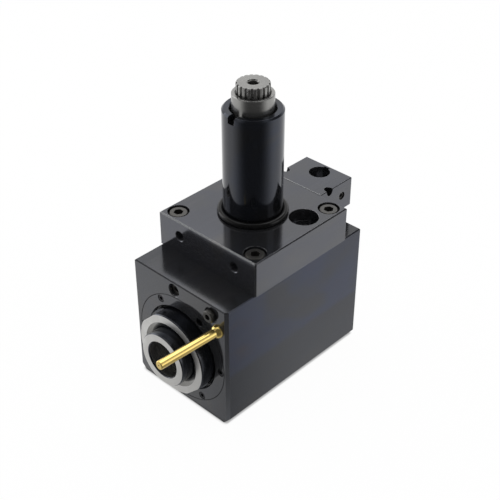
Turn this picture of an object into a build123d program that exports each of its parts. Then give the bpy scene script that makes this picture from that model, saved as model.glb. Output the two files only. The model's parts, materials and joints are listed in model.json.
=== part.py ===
from build123d import *
import os
from math import acos, cos, pi, radians, sin, sqrt, tan

os.makedirs("parts", exist_ok=True)

# Radial driven tool holder. The cylindrical shank points up along +Z, the collet spindle points to -Y.
# The origin is on the shank's axis, in the flange face that meets the turret. All sizes are millimetres.

# Shank
shank_diameter = 40.0
shank_length = 76.5
shank_root = 39.2
shank_root_room = 0.3
shank_bore = 28.0
shank_mouth = 30.0
shank_chamfer = 1.2
mouth_bevel = 0.6
notch_width = 5.5
notch_depth = 5.0

# Flange block
flange_width = 88.0
flange_front = 44.0
flange_back = 45.0
flange_thickness = 25.5
flange_corner = 0.9
top_bevel = 0.8
edge_break = 0.3
flange_screw = 8.0
flange_screw_x = 35.0
flange_screw_front = 35.0
flange_screw_back = 36.5
flange_screw_length = 35.0
flange_seat_play = 1.0
fixing_bore = 20.0
fixing_bore_depth = 9.5
fixing_bevel = 0.2
fixing_thread = 10.2
fixing_thread_depth = 9.0
fixing_x = 30.0
fixing_y = 17.0
wall_hole = 7.0
wall_hole_x = 25.0
wall_hole_drop = 11.3
wall_hole_depth = 14.0
spigot_diameter = 60.0
spigot_length = 23.5
spigot_bevel = 1.0
flange_ring_rise = 6.0

# Housing
housing_width = 86.0
housing_front = 69.0
housing_back = 63.0
housing_drop = 120.0
sole_chamfer = 4.2
housing_corner = 2.0
spindle_drop = 77.0
cavity_diameter = 54.0
cavity_room = 2.0
spigot_room = 0.5

# Alignment block behind the flange
align_width = 42.0
align_length = 33.5
align_height = 22.0
align_chamfer = 0.5
align_pin_hole = 15.0
align_pin_back = 10.5
align_relief_width = 5.0
align_relief_depth = 1.2
align_screw = 6.0
align_screw_length = 11.5
align_screw_drop = 10.7
align_screw_recess = 1.0
angled_hole = 6.5
angled_hole_depth = 14.0
angled_hole_y = 9.4
align_fixing = 4.0
align_fixing_x = 14.0
align_fixing_drop = 17.2
align_fixing_length = 38.0

# Bevel gears, one to one, straight teeth
gear_module = 2.0
gear_teeth = 24
gear_face = 11.0
gear_hub = 7.0
gear_heel = 1.5
gear_bore = 22.0
gear_backlash = 0.25
pressure_angle = 20.0
addendum = 1.0
dedendum = 1.25
gap_overreach = 1.6
key_size = 5.0
key_front_gap = 0.5
key_back_gap = 1.5
key_top_gap = 0.2
circlip_width = 1.5
circlip_height = 2.2
circlip_depth = 0.8
circlip_opening = 3.0

# Spindle
nose_diameter = 60.0
nose_reach = 10.0
nose_chamfer = 0.6
flat_reach = 28.5
flat_length = 8.0
mouth_diameter = 48.0
mouth_depth = 2.0
thread_depth = 13.0
thread_entry = 0.4
taper_diameter = 33.0
taper_angle = 8.0
taper_depth = 28.0
tool_relief = 22.0
tool_relief_depth = 3.0
spindle_shoulder = 48.0
shoulder_width = 1.0
rear_thread = 17.0
rear_thread_length = 6.0
spindle_play = 1.2

# Collet nut
nut_diameter = 39.3
nut_reach = 7.6
nut_length = 19.6
nut_opening = 26.6
nut_land = 2.0
nut_cone_angle = 30.0
nut_cavity = 34.0
nut_chamfer = 0.6

# Ball bearings and the share of a ball that their shoulders and cages leave free
front_bearing = dict(bore=40.0, outside=68.0, width=15.0, ball=7.5, count=14)
rear_bearing = dict(bore=20.0, outside=42.0, width=12.0, ball=6.3, count=9)
drive_bearing = dict(bore=25.0, outside=52.0, width=15.0, ball=7.9, count=12)
shoulder_share = 0.56
cage_wall_share = 0.34
cage_width_share = 0.62

# Needle bearing at the shank's end
needle_count = 16
needle_diameter = 2.5
needle_length = 11.0
needle_width = 16.0
needle_drop = 10.5
cup_lip = 1.0
cup_lip_gap = 0.5
needle_cage_wall = 2.0
needle_cage_gap = 0.6

# Front cover and seal
cover_diameter = 80.0
cover_screw = 3.0
cover_screw_count = 6
cover_screw_circle = 73.2
cover_screw_length = 10.0
cover_bevel = 0.2
cover_lip_bevel = 0.7
seal_width = 3.0
seal_height = 3.3
seal_lip = 0.5

# Rear cover
rear_cover_diameter = 72.0
rear_cover_thickness = 7.0
rear_spigot = 56.0
rear_spigot_lead = 1.5
rear_bearing_place = 36.0
rear_pocket = 34.0
rear_screw = 4.0
rear_screw_count = 6
rear_screw_length = 10.0
rear_screw_start = 30.0
rear_ring_place = 51.0

# Drive shaft, collar and seal in the shank
drive_shaft_middle = 24.0
shaft_step = 1.5
shaft_step_gap = 3.0
shaft_overhang = 1.0
spline_diameter = 21.8
spline_root = 19.4
spline_teeth = 18
spline_tip_width = 1.3
spline_root_width = 2.3
spline_length = 6.8
spline_hidden = 3.0
spline_chamfer = 0.6
centre_hole = 6.6
centre_sink = 8.6
centre_hole_depth = 16.0
collar_diameter = 27.5
collar_rise = 10.4
collar_sunk = 5.6
collar_recess = 1.4
collar_recess_width = 0.5
collar_bevel = 0.5
lip_seal_width = 4.0
lip_seal_gap = 1.4
drive_nut_diameter = 38.0
drive_nut_width = 7.0
nut_room = 2.1
rear_nut_diameter = 28.0
rear_nut_width = 5.0
nut_slot_count = 4
nut_slot_width = 5.0
nut_slot_depth = 2.0

# Elastomer rings
shank_cord = 4.2
shank_ring_relief = 47.9
shank_ring_relief_depth = 0.5
small_cord = 2.0
ring_ease = 0.05

# Coolant nozzle, its lock screw and the channel plug
nozzle_x = 35.0
nozzle_drop = 43.0
nozzle_ball = 9.4
nozzle_tube = 6.0
nozzle_bore = 1.2
nozzle_length = 48.0
nozzle_yaw = 3.3
nozzle_sunk = 0.3
nozzle_channel = 4.0
nozzle_channel_depth = 22.0
lock_screw = 5.0
lock_screw_x = 29.0
lock_screw_drop = 33.3
lock_screw_length = 12.0
lock_screw_seat = 1.8
lock_screw_pocket = 11.2
plug_diameter = 9.0
plug_x = -5.0
plug_drop = 31.8
plug_length = 6.0
plug_recess = 2.5
plug_channel = 5.0
plug_channel_depth = 28.0

# Screws and holes in general
head_share = 1.5
head_extra = 1.0
socket_share = 0.7
socket_extra = 0.4
screw_bevel_share = 0.1
drill_angle = 118.0
hole_sink_share = 0.06
tap_overrun = 1.5
head_recess = 0.6
flush_recess = 0.2
flush_play = 0.15
bore_bevel = 0.8
small_bevel = 0.4

# Clearances
fit = 0.02
running = 0.06
seam = 0.1
thread_ease = 0.03
ball_play = 0.08
screw_ease = 0.25

# Sizes that follow from the ones above
pitch_radius = gear_module * gear_teeth / 2
gear_back = pitch_radius + gear_hub
cone_length = pitch_radius * sqrt(2)
face_share = 1 - gear_face / cone_length
root_height = pitch_radius + dedendum * gear_module / sqrt(2)
gear_front = root_height * face_share
circlip_end = gear_front - circlip_width
drive_bearing_low = -spindle_drop + gear_back
drive_bearing_high = drive_bearing_low + 2 * drive_bearing["width"]
drive_nut_top = drive_bearing_high + drive_nut_width
nut_chamber_top = drive_nut_top + nut_room
spigot_end = -flange_thickness - spigot_length
flange_ring_height = spigot_end + flange_ring_rise
needle_high = shank_length - needle_drop
needle_low = needle_high - needle_width
front_bearing_end = gear_back + 2 * front_bearing["width"]
cover_thickness = housing_front - front_bearing_end
seal_near = front_bearing_end + shoulder_width + spindle_play / 2
nose_face = housing_front + nose_reach
nut_face = nose_face + nut_reach
rear_bearing_end = rear_bearing_place + rear_bearing["width"]
rear_pocket_end = housing_back - rear_cover_thickness
rear_screw_circle = (rear_cover_diameter + rear_spigot) / 2
align_end = flange_back + align_length
align_pin_y = align_end - align_pin_back
shank_ring_top = shank_cord + ring_ease - shank_ring_relief_depth
shank_root_top = shank_ring_top + shank_root_room
collar_top = shank_length + collar_rise
collar_low = shank_length - collar_sunk
shaft_top = collar_top + spline_length
spindle_key_angle = 90.0
drive_key_angle = -90.0 + 180.0 / gear_teeth


# Shapes that everything is made of

def block(x0, x1, y0, y1, z0, z1):
    """A box between two corners."""
    middle = Pos((x0 + x1) / 2, (y0 + y1) / 2, (z0 + z1) / 2)
    return middle * Box(x1 - x0, y1 - y0, z1 - z0)


def turned(*outline):
    """A solid turned about Z from its outline of radius and height pairs."""
    return revolve(Plane.XZ * Polygon(*outline, align=None), Axis.Z)


def disc(diameter, low, high):
    """A turned cylinder about Z."""
    return turned((0, low), (diameter / 2, low), (diameter / 2, high), (0, high))


def ring(inner, outer, low, high):
    """A turned ring between two diameters."""
    return turned((inner / 2, low), (outer / 2, low), (outer / 2, high), (inner / 2, high))


def around(count, radius, shape, start=0.0):
    """Copies of a shape on a circle about Z."""
    return [Rot(0, 0, start + 360 * i / count) * Pos(radius, 0, 0) * shape for i in range(count)]


def one_solid(shape):
    """The largest solid of a result, when a cut leaves it wrapped in a compound."""
    return max(shape.solids(), key=lambda solid: solid.volume)


def on_shank(shape):
    """A shape built about Z stays on the shank's axis."""
    return shape


def on_spindle(shape):
    """Carries a shape built about Z to the spindle: local +Z becomes -Y, local +Y becomes +Z."""
    return Pos(0, 0, -spindle_drop) * Rot(90, 0, 0) * shape


def on_rear(shape):
    """Carries a shape built about Z to the spindle's rear end: local +Z becomes +Y."""
    return on_spindle(Rot(180, 0, 0) * shape)


def out_of_front(x, y, drop):
    """A place on a wall that looks to -Y, with local +Z out of the wall."""
    return Pos(x, -y, -drop) * Rot(90, 0, 0)


def out_of_back(x, y, drop):
    """A place on a wall that looks to +Y, with local +Z out of the wall."""
    return Pos(x, y, -drop) * Rot(-90, 0, 0)


def bevelled(body, corner):
    """Bevels a block's front right corner by its own size, its top edges, and its other corners slightly."""
    body = chamfer(upright_edges(body)[-1], corner)
    body = chamfer(body.faces().sort_by(Axis.Z)[-1].edges(), top_bevel)
    return chamfer(upright_edges(body)[:-2], edge_break)


def upright_edges(body):
    """A block's upright edges, with the front right corner's at the end."""
    return body.edges().filter_by(Axis.Z).sort_by(lambda edge: edge.center().X - edge.center().Y)


# Screws and their holes

def head_diameter(size):
    """Head of a socket cap screw of the given thread."""
    return head_share * size + head_extra


def hexagon(across, depth):
    """A hexagon socket that opens at z = 0 and goes down."""
    return extrude(RegularPolygon(across / sqrt(3), 6), -depth)


def cap_screw(size, length):
    """A socket cap screw whose head rests on z = 0."""
    head, r = head_diameter(size) / 2, size / 2
    bevel = screw_bevel_share * size
    rod = ((0, -length), (r - bevel, -length), (r, -length + bevel), (r, 0))
    body = turned(*rod, (head, 0), (head, size - bevel), (head - bevel, size), (0, size))
    return body - Pos(0, 0, size) * hexagon(socket_share * size + socket_extra, size / 2)


def sunk_cap_screw(size, length, recess):
    """A socket cap screw whose head's top is a recess below z = 0."""
    return Pos(0, 0, -size - recess) * cap_screw(size, length)


def set_screw(size, length):
    """A socket set screw with its socket end at z = 0 and a flat point below."""
    r, bevel = size / 2, screw_bevel_share * size
    point = ((0, -length), (r - bevel, -length), (r, -length + bevel))
    body = turned(*point, (r, -bevel / 2), (r - bevel / 2, 0), (0, 0))
    return body - hexagon(size / 2, size / 2)


def counterbore(size, depth, recess, play):
    """Room for a sunk cap screw through a plate that is as thick as the depth, from z = 0 down."""
    seat, clear, floor = head_diameter(size) / 2 + play, size / 2 + screw_ease, -size - recess
    return turned((0, 0), (seat, 0), (seat, floor), (clear, floor), (clear, -depth), (0, -depth))


def tapped(size, depth):
    """A drilled hole for a thread from z = 0 down, with a slight countersink and the drill's point."""
    r = size / 2 + thread_ease
    sink, point = hole_sink_share * size, r / tan(radians(drill_angle / 2))
    return turned((0, 0), (r + sink, 0), (r, -sink), (r, -depth), (0, -depth - point))


def reach_behind(size, length, thickness, recess):
    """Depth of the tapped hole behind a plate that a sunk cap screw goes through."""
    return length - (thickness - size - recess) + tap_overrun


# Elastomer rings

def elastomer_ring(middle, cord, height):
    """A round ring about Z, given by the diameter of its cord's middle."""
    return Pos(0, 0, height) * Torus(middle / 2, cord / 2)


def small_ring(diameter, height):
    """A small ring in the groove of a round spigot."""
    return elastomer_ring(diameter - small_cord + ring_ease, small_cord - 2 * ring_ease, height)


def small_groove(diameter, height):
    """The groove for a small ring in a round spigot."""
    floor = diameter - 2 * (small_cord - ring_ease)
    half = small_cord / 2 + 2 * ring_ease
    return ring(floor, diameter + small_cord, height - half, height + half)


def shank_ring():
    """The ring that lies around the shank's root and seals the turret's bore."""
    return elastomer_ring(shank_root + shank_cord + ring_ease, shank_cord, shank_ring_top - shank_cord / 2)


# Bearings

def ball_pitch(bearing):
    """Diameter of the circle on which the balls' centres lie."""
    return (bearing["bore"] + bearing["outside"]) / 2


def race(bearing, low):
    """The groove that the balls roll in."""
    middle = low + bearing["width"] / 2
    return Pos(0, 0, middle) * Torus(ball_pitch(bearing) / 2, bearing["ball"] / 2 + ball_play)


def inner_ring(bearing, low):
    shoulder = ball_pitch(bearing) - shoulder_share * bearing["ball"]
    body = ring(bearing["bore"] + 2 * fit, shoulder, low, low + bearing["width"])
    return one_solid(body - race(bearing, low))


def outer_ring(bearing, low):
    shoulder = ball_pitch(bearing) + shoulder_share * bearing["ball"]
    body = ring(shoulder, bearing["outside"] - 2 * fit, low, low + bearing["width"])
    return one_solid(body - race(bearing, low))


def balls(bearing, low):
    ball = Pos(0, 0, low + bearing["width"] / 2) * Sphere(bearing["ball"] / 2)
    return around(bearing["count"], ball_pitch(bearing) / 2, ball)


def cage(bearing, low):
    """A ring with a round pocket through its wall for each ball."""
    pitch, ball = ball_pitch(bearing), bearing["ball"]
    wall, half = cage_wall_share * ball, cage_width_share * ball
    middle = low + bearing["width"] / 2
    body = ring(pitch - wall, pitch + wall, middle - half, middle + half)
    pocket = Pos(0, 0, middle) * Rot(0, 90, 0) * Cylinder(ball / 2 + ball_play, ball)
    return one_solid(body - around(bearing["count"], pitch / 2, pocket))


def bearing_parts(name, bearing, lows, place):
    """Rings, balls and cages of one bearing, or of a pair that stands side by side."""
    return {
        name + "_outer_rings": [place(outer_ring(bearing, low)) for low in lows],
        name + "_inner_rings": [place(inner_ring(bearing, low)) for low in lows],
        name + "_balls": [place(ball) for low in lows for ball in balls(bearing, low)],
        name + "_cages": [place(cage(bearing, low)) for low in lows],
    }


def needle_parts():
    """The drawn-cup needle bearing at the top of the shank."""
    middle = (needle_low + needle_high) / 2
    cup_bore = gear_bore + 2 * needle_diameter + 4 * ball_play
    lip_bore = gear_bore + 2 * cup_lip_gap
    cup = ring(cup_bore, shank_mouth - 2 * fit, needle_low, needle_high)
    cup += ring(lip_bore, cup_bore, needle_low, needle_low + cup_lip)
    cup += ring(lip_bore, cup_bore, needle_high - cup_lip, needle_high)
    pitch = gear_bore + needle_diameter + 2 * ball_play
    needle = Cylinder(needle_diameter / 2, needle_length)
    slot = Cylinder(needle_diameter / 2 + ball_play, needle_length + 2 * ball_play)
    gap, half = cup_lip + needle_cage_gap, needle_cage_wall / 2
    web = ring(pitch - half, pitch + half, needle_low + gap, needle_high - gap)
    needles = around(needle_count, pitch / 2, Pos(0, 0, middle) * needle)
    slots = around(needle_count, pitch / 2, Pos(0, 0, middle) * slot)
    web = one_solid(web - slots)
    return {"shank_needle_cup": [cup], "shank_needles": needles, "shank_needle_cage": [web]}


# Bevel gears and what holds them on their shafts

def involute(angle):
    return tan(angle) - angle


def tooth_half_angle(rho):
    """Half of a tooth's angle about the gear's axis, at a slant distance rho on the back cone."""
    base = cone_length * cos(radians(pressure_angle))
    at = acos(min(base / rho, 1.0))
    pitch_half = pi / (2 * gear_teeth) * cos(pi / 4) - gear_backlash / 4 / cone_length
    half = pitch_half + involute(radians(pressure_angle)) - involute(at)
    return half / cos(pi / 4)


def gap_outline(height):
    """The space between two teeth, cut by a plane square to the axis at a height above the cones' apex."""
    rim = []
    for step in (gap_overreach, addendum, addendum / 2, 0.0, -addendum / 2, -dedendum):
        rho = cone_length + step * gear_module
        radius = rho / sqrt(2)
        rise = pitch_radius * 2 - radius
        half = pi / gear_teeth - tooth_half_angle(rho)
        rim.append((radius / rise * height, half))
    left = [(r * cos(a), -r * sin(a)) for r, a in rim]
    right = [(r * cos(a), r * sin(a)) for r, a in reversed(rim)]
    return left + right


def bevel_gear(start):
    """A straight bevel gear about Z with its cones' apex at the origin and a tooth gap at the start angle."""
    rise = gear_module / sqrt(2)
    tip, tip_height = pitch_radius + addendum * rise, pitch_radius - addendum * rise
    root = pitch_radius - dedendum * rise
    heel, bore = root - gear_heel, gear_bore / 2 + fit
    toe = ((bore, gear_front), (root * face_share, gear_front), (tip * face_share, tip_height * face_share))
    back = ((tip, tip_height), (root, root_height), (heel, root_height + gear_heel))
    hub = ((heel, gear_back - bore_bevel), (heel - bore_bevel, gear_back), (bore, gear_back))
    blank = turned(*toe, *back, *hub)
    heights = (gear_front / 2, gear_back + gear_hub)
    ends = [Pos(0, 0, h) * Polygon(*gap_outline(h), align=None) for h in heights]
    gap = loft(ends, ruled=True)
    gaps = [Rot(0, 0, start + 360 * i / gear_teeth) * gap for i in range(gear_teeth)]
    half = key_size / 2 + fit
    keyway = block(0, (gear_bore + key_size) / 2 + key_top_gap, -half, half, gear_front, gear_back)
    return one_solid(blank - gaps - Rot(0, 0, start + 180 / gear_teeth) * keyway)


def key(start, ease=0.0):
    """The parallel key between a shaft and its gear, or with some ease the seat that is cut for it."""
    middle, half = gear_bore / 2, key_size / 2 + ease
    low, high = gear_front + key_front_gap - ease, gear_back - key_back_gap + ease
    body = block(middle - half, middle + key_size / 2, -half, half, low, high)
    return Rot(0, 0, start + 180 / gear_teeth) * body


def circlip_groove():
    """The groove in a gear's shaft for its circlip."""
    return ring(gear_bore - 2 * circlip_depth, gear_bore + circlip_depth, circlip_end, gear_front)


def open_ring(inner, outer, low):
    """A spring ring with an opening, in a groove that starts at the given height."""
    half, high = circlip_opening / 2, low + circlip_width
    body = ring(inner, outer, low + running, high - running)
    return one_solid(body - block(0, outer, -half, half, low, high))


def shaft_circlip(shaft, low):
    """A circlip that grips a shaft's groove."""
    return open_ring(shaft - 2 * circlip_depth + 2 * running, shaft + 2 * circlip_height, low)


def bore_circlip(bore, low):
    """A circlip that springs into a bore's groove."""
    return open_ring(bore - 2 * circlip_height, bore + 2 * circlip_depth - 2 * running, low)


def slotted_nut(bore, diameter, low, high):
    """A lock nut with spanner slots in its rim."""
    inner, rim, bevel = bore / 2 + fit, diameter / 2, bore_bevel
    lower = ((inner, low), (rim - bevel, low), (rim, low + bevel))
    body = turned(*lower, (rim, high - bevel), (rim - bevel, high), (inner, high))
    slot = Pos(0, 0, (low + high) / 2) * Box(2 * nut_slot_depth, nut_slot_width, high - low)
    return one_solid(body - around(nut_slot_count, rim, slot))


# Flange block

def flange_screw_places():
    """The four corners where the flange is screwed to the housing."""
    return [(side * flange_screw_x, y) for side in (-1, 1) for y in (-flange_screw_front, flange_screw_back)]


def fixing_hole():
    """The wide counterbore with a tapped hole in its floor, for a screw of the turret."""
    wide, core, floor = fixing_bore / 2, fixing_thread / 2, -fixing_bore_depth
    end = floor - fixing_thread_depth
    mouth = ((0, 0), (wide + fixing_bevel, 0), (wide, -fixing_bevel), (wide, floor))
    return turned(*mouth, (core, floor), (core, end), (0, end))


def flange_holes():
    """Everything that is bored into the flange block from its outside."""
    seat = counterbore(flange_screw, flange_thickness, head_recess, flange_seat_play)
    holes = [Pos(x, y, 0) * seat for x, y in flange_screw_places()]
    fixing_depth = reach_behind(align_fixing, align_fixing_length, align_length, head_recess)
    for side in (-1, 1):
        holes.append(Pos(side * fixing_x, fixing_y, 0) * fixing_hole())
        wall = out_of_front(side * wall_hole_x, flange_front, wall_hole_drop)
        holes.append(wall * tapped(wall_hole, wall_hole_depth))
        back = out_of_back(side * align_fixing_x, flange_back, align_fixing_drop)
        holes.append(back * tapped(align_fixing, fixing_depth))
    return holes


def spigot():
    """The round foot that centres the flange block in the housing."""
    r, top, end = spigot_diameter / 2, -flange_thickness, spigot_end
    body = turned((0, top), (r, top), (r, end + spigot_bevel), (r - spigot_bevel, end), (0, end))
    return body - small_groove(spigot_diameter, flange_ring_height)


def drive_bore():
    """The stepped bore for the drive shaft's bearings, lock nut, circlip, needle bearing and seal."""
    seat, low, clip = drive_bearing["outside"] / 2, drive_bearing_low, drive_bearing_low - circlip_width
    groove, chamber = seat + circlip_depth, drive_nut_diameter / 2 + nut_room / 2
    inner, mouth, top = shank_bore / 2, shank_mouth / 2, shank_length
    lower = ((0, spigot_end), (seat, spigot_end), (seat, clip), (groove, clip), (groove, low), (seat, low))
    middle = ((seat, drive_bearing_high), (chamber, drive_bearing_high), (chamber, nut_chamber_top))
    upper = ((inner, nut_chamber_top), (inner, needle_low), (mouth, needle_low), (mouth, top - mouth_bevel))
    return turned(*lower, *middle, *upper, (mouth + mouth_bevel, top), (0, top))


def flange_block():
    """The square plate with the shank above it and the spigot below it, all one piece."""
    half, r, top, root = flange_width / 2, shank_diameter / 2, shank_length, shank_root / 2
    body = bevelled(block(-half, half, -flange_front, flange_back, -flange_thickness, 0), flange_corner)
    body -= disc(shank_ring_relief, -shank_ring_relief_depth, 0)
    foot = ((0, -root), (root, -root), (root, shank_root_top), (r, shank_root_top + r - root))
    body += turned(*foot, (r, top - shank_chamfer), (r - shank_chamfer, top), (0, top))
    body += spigot()
    body -= drive_bore()
    body -= block(-notch_width / 2, notch_width / 2, -shank_diameter, 0, top - notch_depth, top)
    return one_solid(body - flange_holes())


def flange_screws():
    screw = sunk_cap_screw(flange_screw, flange_screw_length, head_recess)
    return [Pos(x, y, 0) * screw for x, y in flange_screw_places()]


# Housing

def housing_outline():
    """The housing's front view: a square body whose two lower corners are cut."""
    half, top, low, cut = housing_width / 2, -flange_thickness, -housing_drop, sole_chamfer
    left = ((-half, top), (-half, low + cut), (-half + cut, low))
    return Polygon(*left, (half - cut, low), (half, low + cut), (half, top), align=None)


def spindle_bores():
    """The bores along the spindle: front cover, front bearings, gear room, rear carrier and its lid."""
    cover, seat, cavity = cover_diameter / 2, front_bearing["outside"] / 2, cavity_diameter / 2
    carrier, lid = rear_spigot / 2 + running, rear_cover_diameter / 2
    front, step, back, floor = housing_front, front_bearing_end, -housing_back, -rear_pocket_end
    room_end = cavity_room - rear_bearing_place
    mouth = ((0, front), (cover + cover_bevel, front), (cover, front - cover_bevel), (cover, step))
    inside = ((seat, step), (seat, gear_back), (cavity, gear_back), (cavity, room_end), (carrier, room_end))
    rear = ((carrier, floor), (lid, floor), (lid, back + cover_bevel), (lid + cover_bevel, back), (0, back))
    return on_spindle(turned(*mouth, *inside, *rear))


def drive_room():
    """The bore from the top for the flange's spigot and the pinion."""
    r, cavity = spigot_diameter / 2 + running, cavity_diameter / 2
    top, end = -flange_thickness, spigot_end - spigot_room
    mouth = ((0, top), (r + bore_bevel, top), (r, top - bore_bevel), (r, end))
    return turned(*mouth, (cavity, end), (cavity, -spindle_drop), (0, -spindle_drop))


def nozzle_holes():
    """The nozzle's socket and channel, and the hole of its lock screw."""
    face = out_of_front(nozzle_x, housing_front, nozzle_drop)
    socket = nozzle_ball / 2 + running
    lock = out_of_front(lock_screw_x, housing_front, lock_screw_drop)
    lock_end = -lock_screw_seat - lock_screw_length - tap_overrun
    return [face * (Pos(0, 0, -nozzle_sunk) * Sphere(socket) + disc(2 * socket, -nozzle_sunk, 0)),
            face * disc(nozzle_channel, -nozzle_channel_depth, 0),
            lock * disc(lock_screw_pocket, -lock_screw_seat, 0),
            lock * disc(lock_screw + 2 * running, lock_end, 0)]


def housing_holes():
    """Screw and channel holes of the housing."""
    depth = reach_behind(flange_screw, flange_screw_length, flange_thickness, head_recess)
    holes = [Pos(x, y, -flange_thickness) * tapped(flange_screw, depth) for x, y in flange_screw_places()]
    depth = reach_behind(cover_screw, cover_screw_length, cover_thickness, flush_recess)
    hole = Pos(0, 0, front_bearing_end) * tapped(cover_screw, depth)
    holes += [on_spindle(h) for h in around(cover_screw_count, cover_screw_circle / 2, hole)]
    depth = reach_behind(rear_screw, rear_screw_length, rear_cover_thickness, flush_recess)
    hole = Pos(0, 0, rear_pocket_end) * tapped(rear_screw, depth)
    holes += [on_rear(h) for h in around(rear_screw_count, rear_screw_circle / 2, hole, rear_screw_start)]
    plug = out_of_front(plug_x, housing_front, plug_drop)
    holes.append(plug * tapped(plug_diameter, plug_recess + plug_length))
    holes.append(plug * disc(plug_channel, -plug_channel_depth, 0))
    return holes


def housing():
    """The ground block that carries the spindle, hollow for the gears."""
    body = extrude(Plane.XZ.offset(-housing_back) * housing_outline(), housing_back + housing_front)
    body = bevelled(body, housing_corner)
    return one_solid(body - spindle_bores() - drive_room() - nozzle_holes() - housing_holes())


# Alignment block

def alignment_block():
    """The block behind the flange whose upright hole takes the turret's pin."""
    half = align_width / 2
    body = block(-half, half, flange_back, align_end, -align_height, 0)
    body = chamfer(body.edges().filter_by(Axis.Z).sort_by(Axis.Y)[-2:], align_chamfer)
    body = chamfer(body.faces().sort_by(Axis.Z)[-1].edges(), align_chamfer)
    pin = Pos(0, align_pin_y, 0)
    relief = align_pin_hole / 2 + align_relief_depth
    cuts = [pin * disc(align_pin_hole, -align_height, 0)]
    cuts.append(pin * block(-align_relief_width / 2, align_relief_width / 2, 0, relief, -align_height, 0))
    for side in (-1, 1):
        entry = Pos(side * half, align_pin_y, -align_screw_drop) * Rot(0, side * 90, 0)
        cuts.append(entry * disc(align_screw + 2 * thread_ease, -half, 0))
        slant = Pos(side * half, flange_back + angled_hole_y, 0) * Rot(0, side * 45, 0)
        cuts.append(slant * disc(angled_hole, -angled_hole_depth, angled_hole))
        seat = counterbore(align_fixing, align_length, head_recess, screw_ease)
        cuts.append(out_of_back(side * align_fixing_x, align_end, align_fixing_drop) * seat)
    return one_solid(body - cuts)


def alignment_fixings():
    screw = sunk_cap_screw(align_fixing, align_fixing_length, head_recess)
    return [out_of_back(side * align_fixing_x, align_end, align_fixing_drop) * screw for side in (-1, 1)]


def alignment_screw(side):
    """The set screw that pushes the turret's pin from one side."""
    reach = align_width / 2 - align_screw_recess
    entry = Pos(side * reach, align_pin_y, -align_screw_drop) * Rot(0, side * 90, 0)
    return entry * set_screw(align_screw, align_screw_length)


# Covers of the spindle's bore

def front_cover():
    """The flush disc that holds the front bearings, with the seal's groove in its bore."""
    rim, low, high = cover_diameter / 2 - seam, front_bearing_end, housing_front
    lip, groove = nose_diameter / 2 + spindle_play, nose_diameter / 2 + seal_height + fit
    near, far = seal_near, seal_near + seal_width
    outside = ((lip, low), (rim, low), (rim, high - cover_bevel), (rim - cover_bevel, high))
    inside = ((lip + cover_lip_bevel, high), (lip, high - cover_lip_bevel), (lip, far), (groove, far))
    body = turned(*outside, *inside, (groove, near), (lip, near))
    seat = Pos(0, 0, high) * counterbore(cover_screw, cover_thickness, flush_recess, flush_play)
    return on_spindle(one_solid(body - around(cover_screw_count, cover_screw_circle / 2, seat)))


def cover_screws():
    screw = Pos(0, 0, housing_front) * sunk_cap_screw(cover_screw, cover_screw_length, flush_recess)
    return [on_spindle(s) for s in around(cover_screw_count, cover_screw_circle / 2, screw)]


def front_seal():
    """A lip ring in the cover's groove that wipes the spindle nose."""
    near, far = seal_near + fit, seal_near + seal_width - fit
    nose, back = nose_diameter / 2, nose_diameter / 2 + seal_height
    lip, waist = nose + running, nose + spindle_play / 2
    edge = ((nose + spindle_play, far), (lip, far - seal_lip), (lip, far - 2 * seal_lip))
    return on_spindle(turned((back, near), (back, far), *edge, (waist, near + seal_lip), (waist, near)))


def rear_cover():
    """The rear bearing's carrier: a flush lid with a spigot that reaches into the housing."""
    lid, foot = rear_cover_diameter / 2 - seam, rear_spigot / 2
    seat, pocket = rear_bearing["outside"] / 2, rear_pocket / 2
    face, end, near = housing_back, rear_pocket_end, rear_bearing_place - rear_spigot_lead
    outside = ((seat, near), (foot - bore_bevel, near), (foot, near + bore_bevel), (foot, end), (lid, end))
    top = ((lid, face - cover_bevel), (lid - cover_bevel, face), (0, face), (0, end))
    inside = ((pocket, end), (pocket, rear_bearing_end), (seat, rear_bearing_end))
    body = turned(*outside, *top, *inside) - small_groove(rear_spigot, rear_ring_place)
    hole = Pos(0, 0, face) * counterbore(rear_screw, rear_cover_thickness, flush_recess, flush_play)
    body -= around(rear_screw_count, rear_screw_circle / 2, hole, rear_screw_start)
    return on_rear(one_solid(body))


def rear_cover_screws():
    screw = Pos(0, 0, housing_back) * sunk_cap_screw(rear_screw, rear_screw_length, flush_recess)
    return [on_rear(s) for s in around(rear_screw_count, rear_screw_circle / 2, screw, rear_screw_start)]


# Spindle unit

def spindle_outside():
    """The spindle's outline from its threaded tail to the nose."""
    nose, shoulder, journal = nose_diameter / 2, spindle_shoulder / 2, front_bearing["bore"] / 2
    shaft, rear, tail = gear_bore / 2, rear_bearing["bore"] / 2, rear_thread / 2
    seat_end, seat_start = -rear_bearing_end, -rear_bearing_place
    end, step, back = seat_end - rear_thread_length, front_bearing_end, front_bearing_end + shoulder_width
    rear_part = ((0, end), (tail - bore_bevel, end), (tail, end + bore_bevel), (tail, seat_end))
    seat = ((rear, seat_end), (rear, seat_start), (shaft, seat_start), (shaft, gear_back))
    front = ((journal, gear_back), (journal, step), (shoulder, step), (shoulder, back))
    rim = ((nose - bore_bevel, back), (nose, back + bore_bevel))
    rim += ((nose, nose_face - nose_chamfer), (nose - nose_chamfer, nose_face))
    return rear_part + seat + front + rim


def spindle_inside():
    """The spindle's outline from its mouth over thread and taper to the bottom of the tool's room."""
    mouth, thread = mouth_diameter / 2, nut_diameter / 2 + running
    shelf, taper = nose_face - mouth_depth, nose_face - thread_depth
    floor, wide = taper - taper_depth, taper_diameter / 2
    narrow = wide - taper_depth * tan(radians(taper_angle))
    room, end = tool_relief / 2, floor - tool_relief_depth
    entry = ((mouth, nose_face), (thread + thread_entry, shelf), (thread, shelf - thread_entry))
    return entry + ((thread, taper), (wide, taper), (narrow, floor), (room, floor), (room, end), (0, end))


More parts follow.
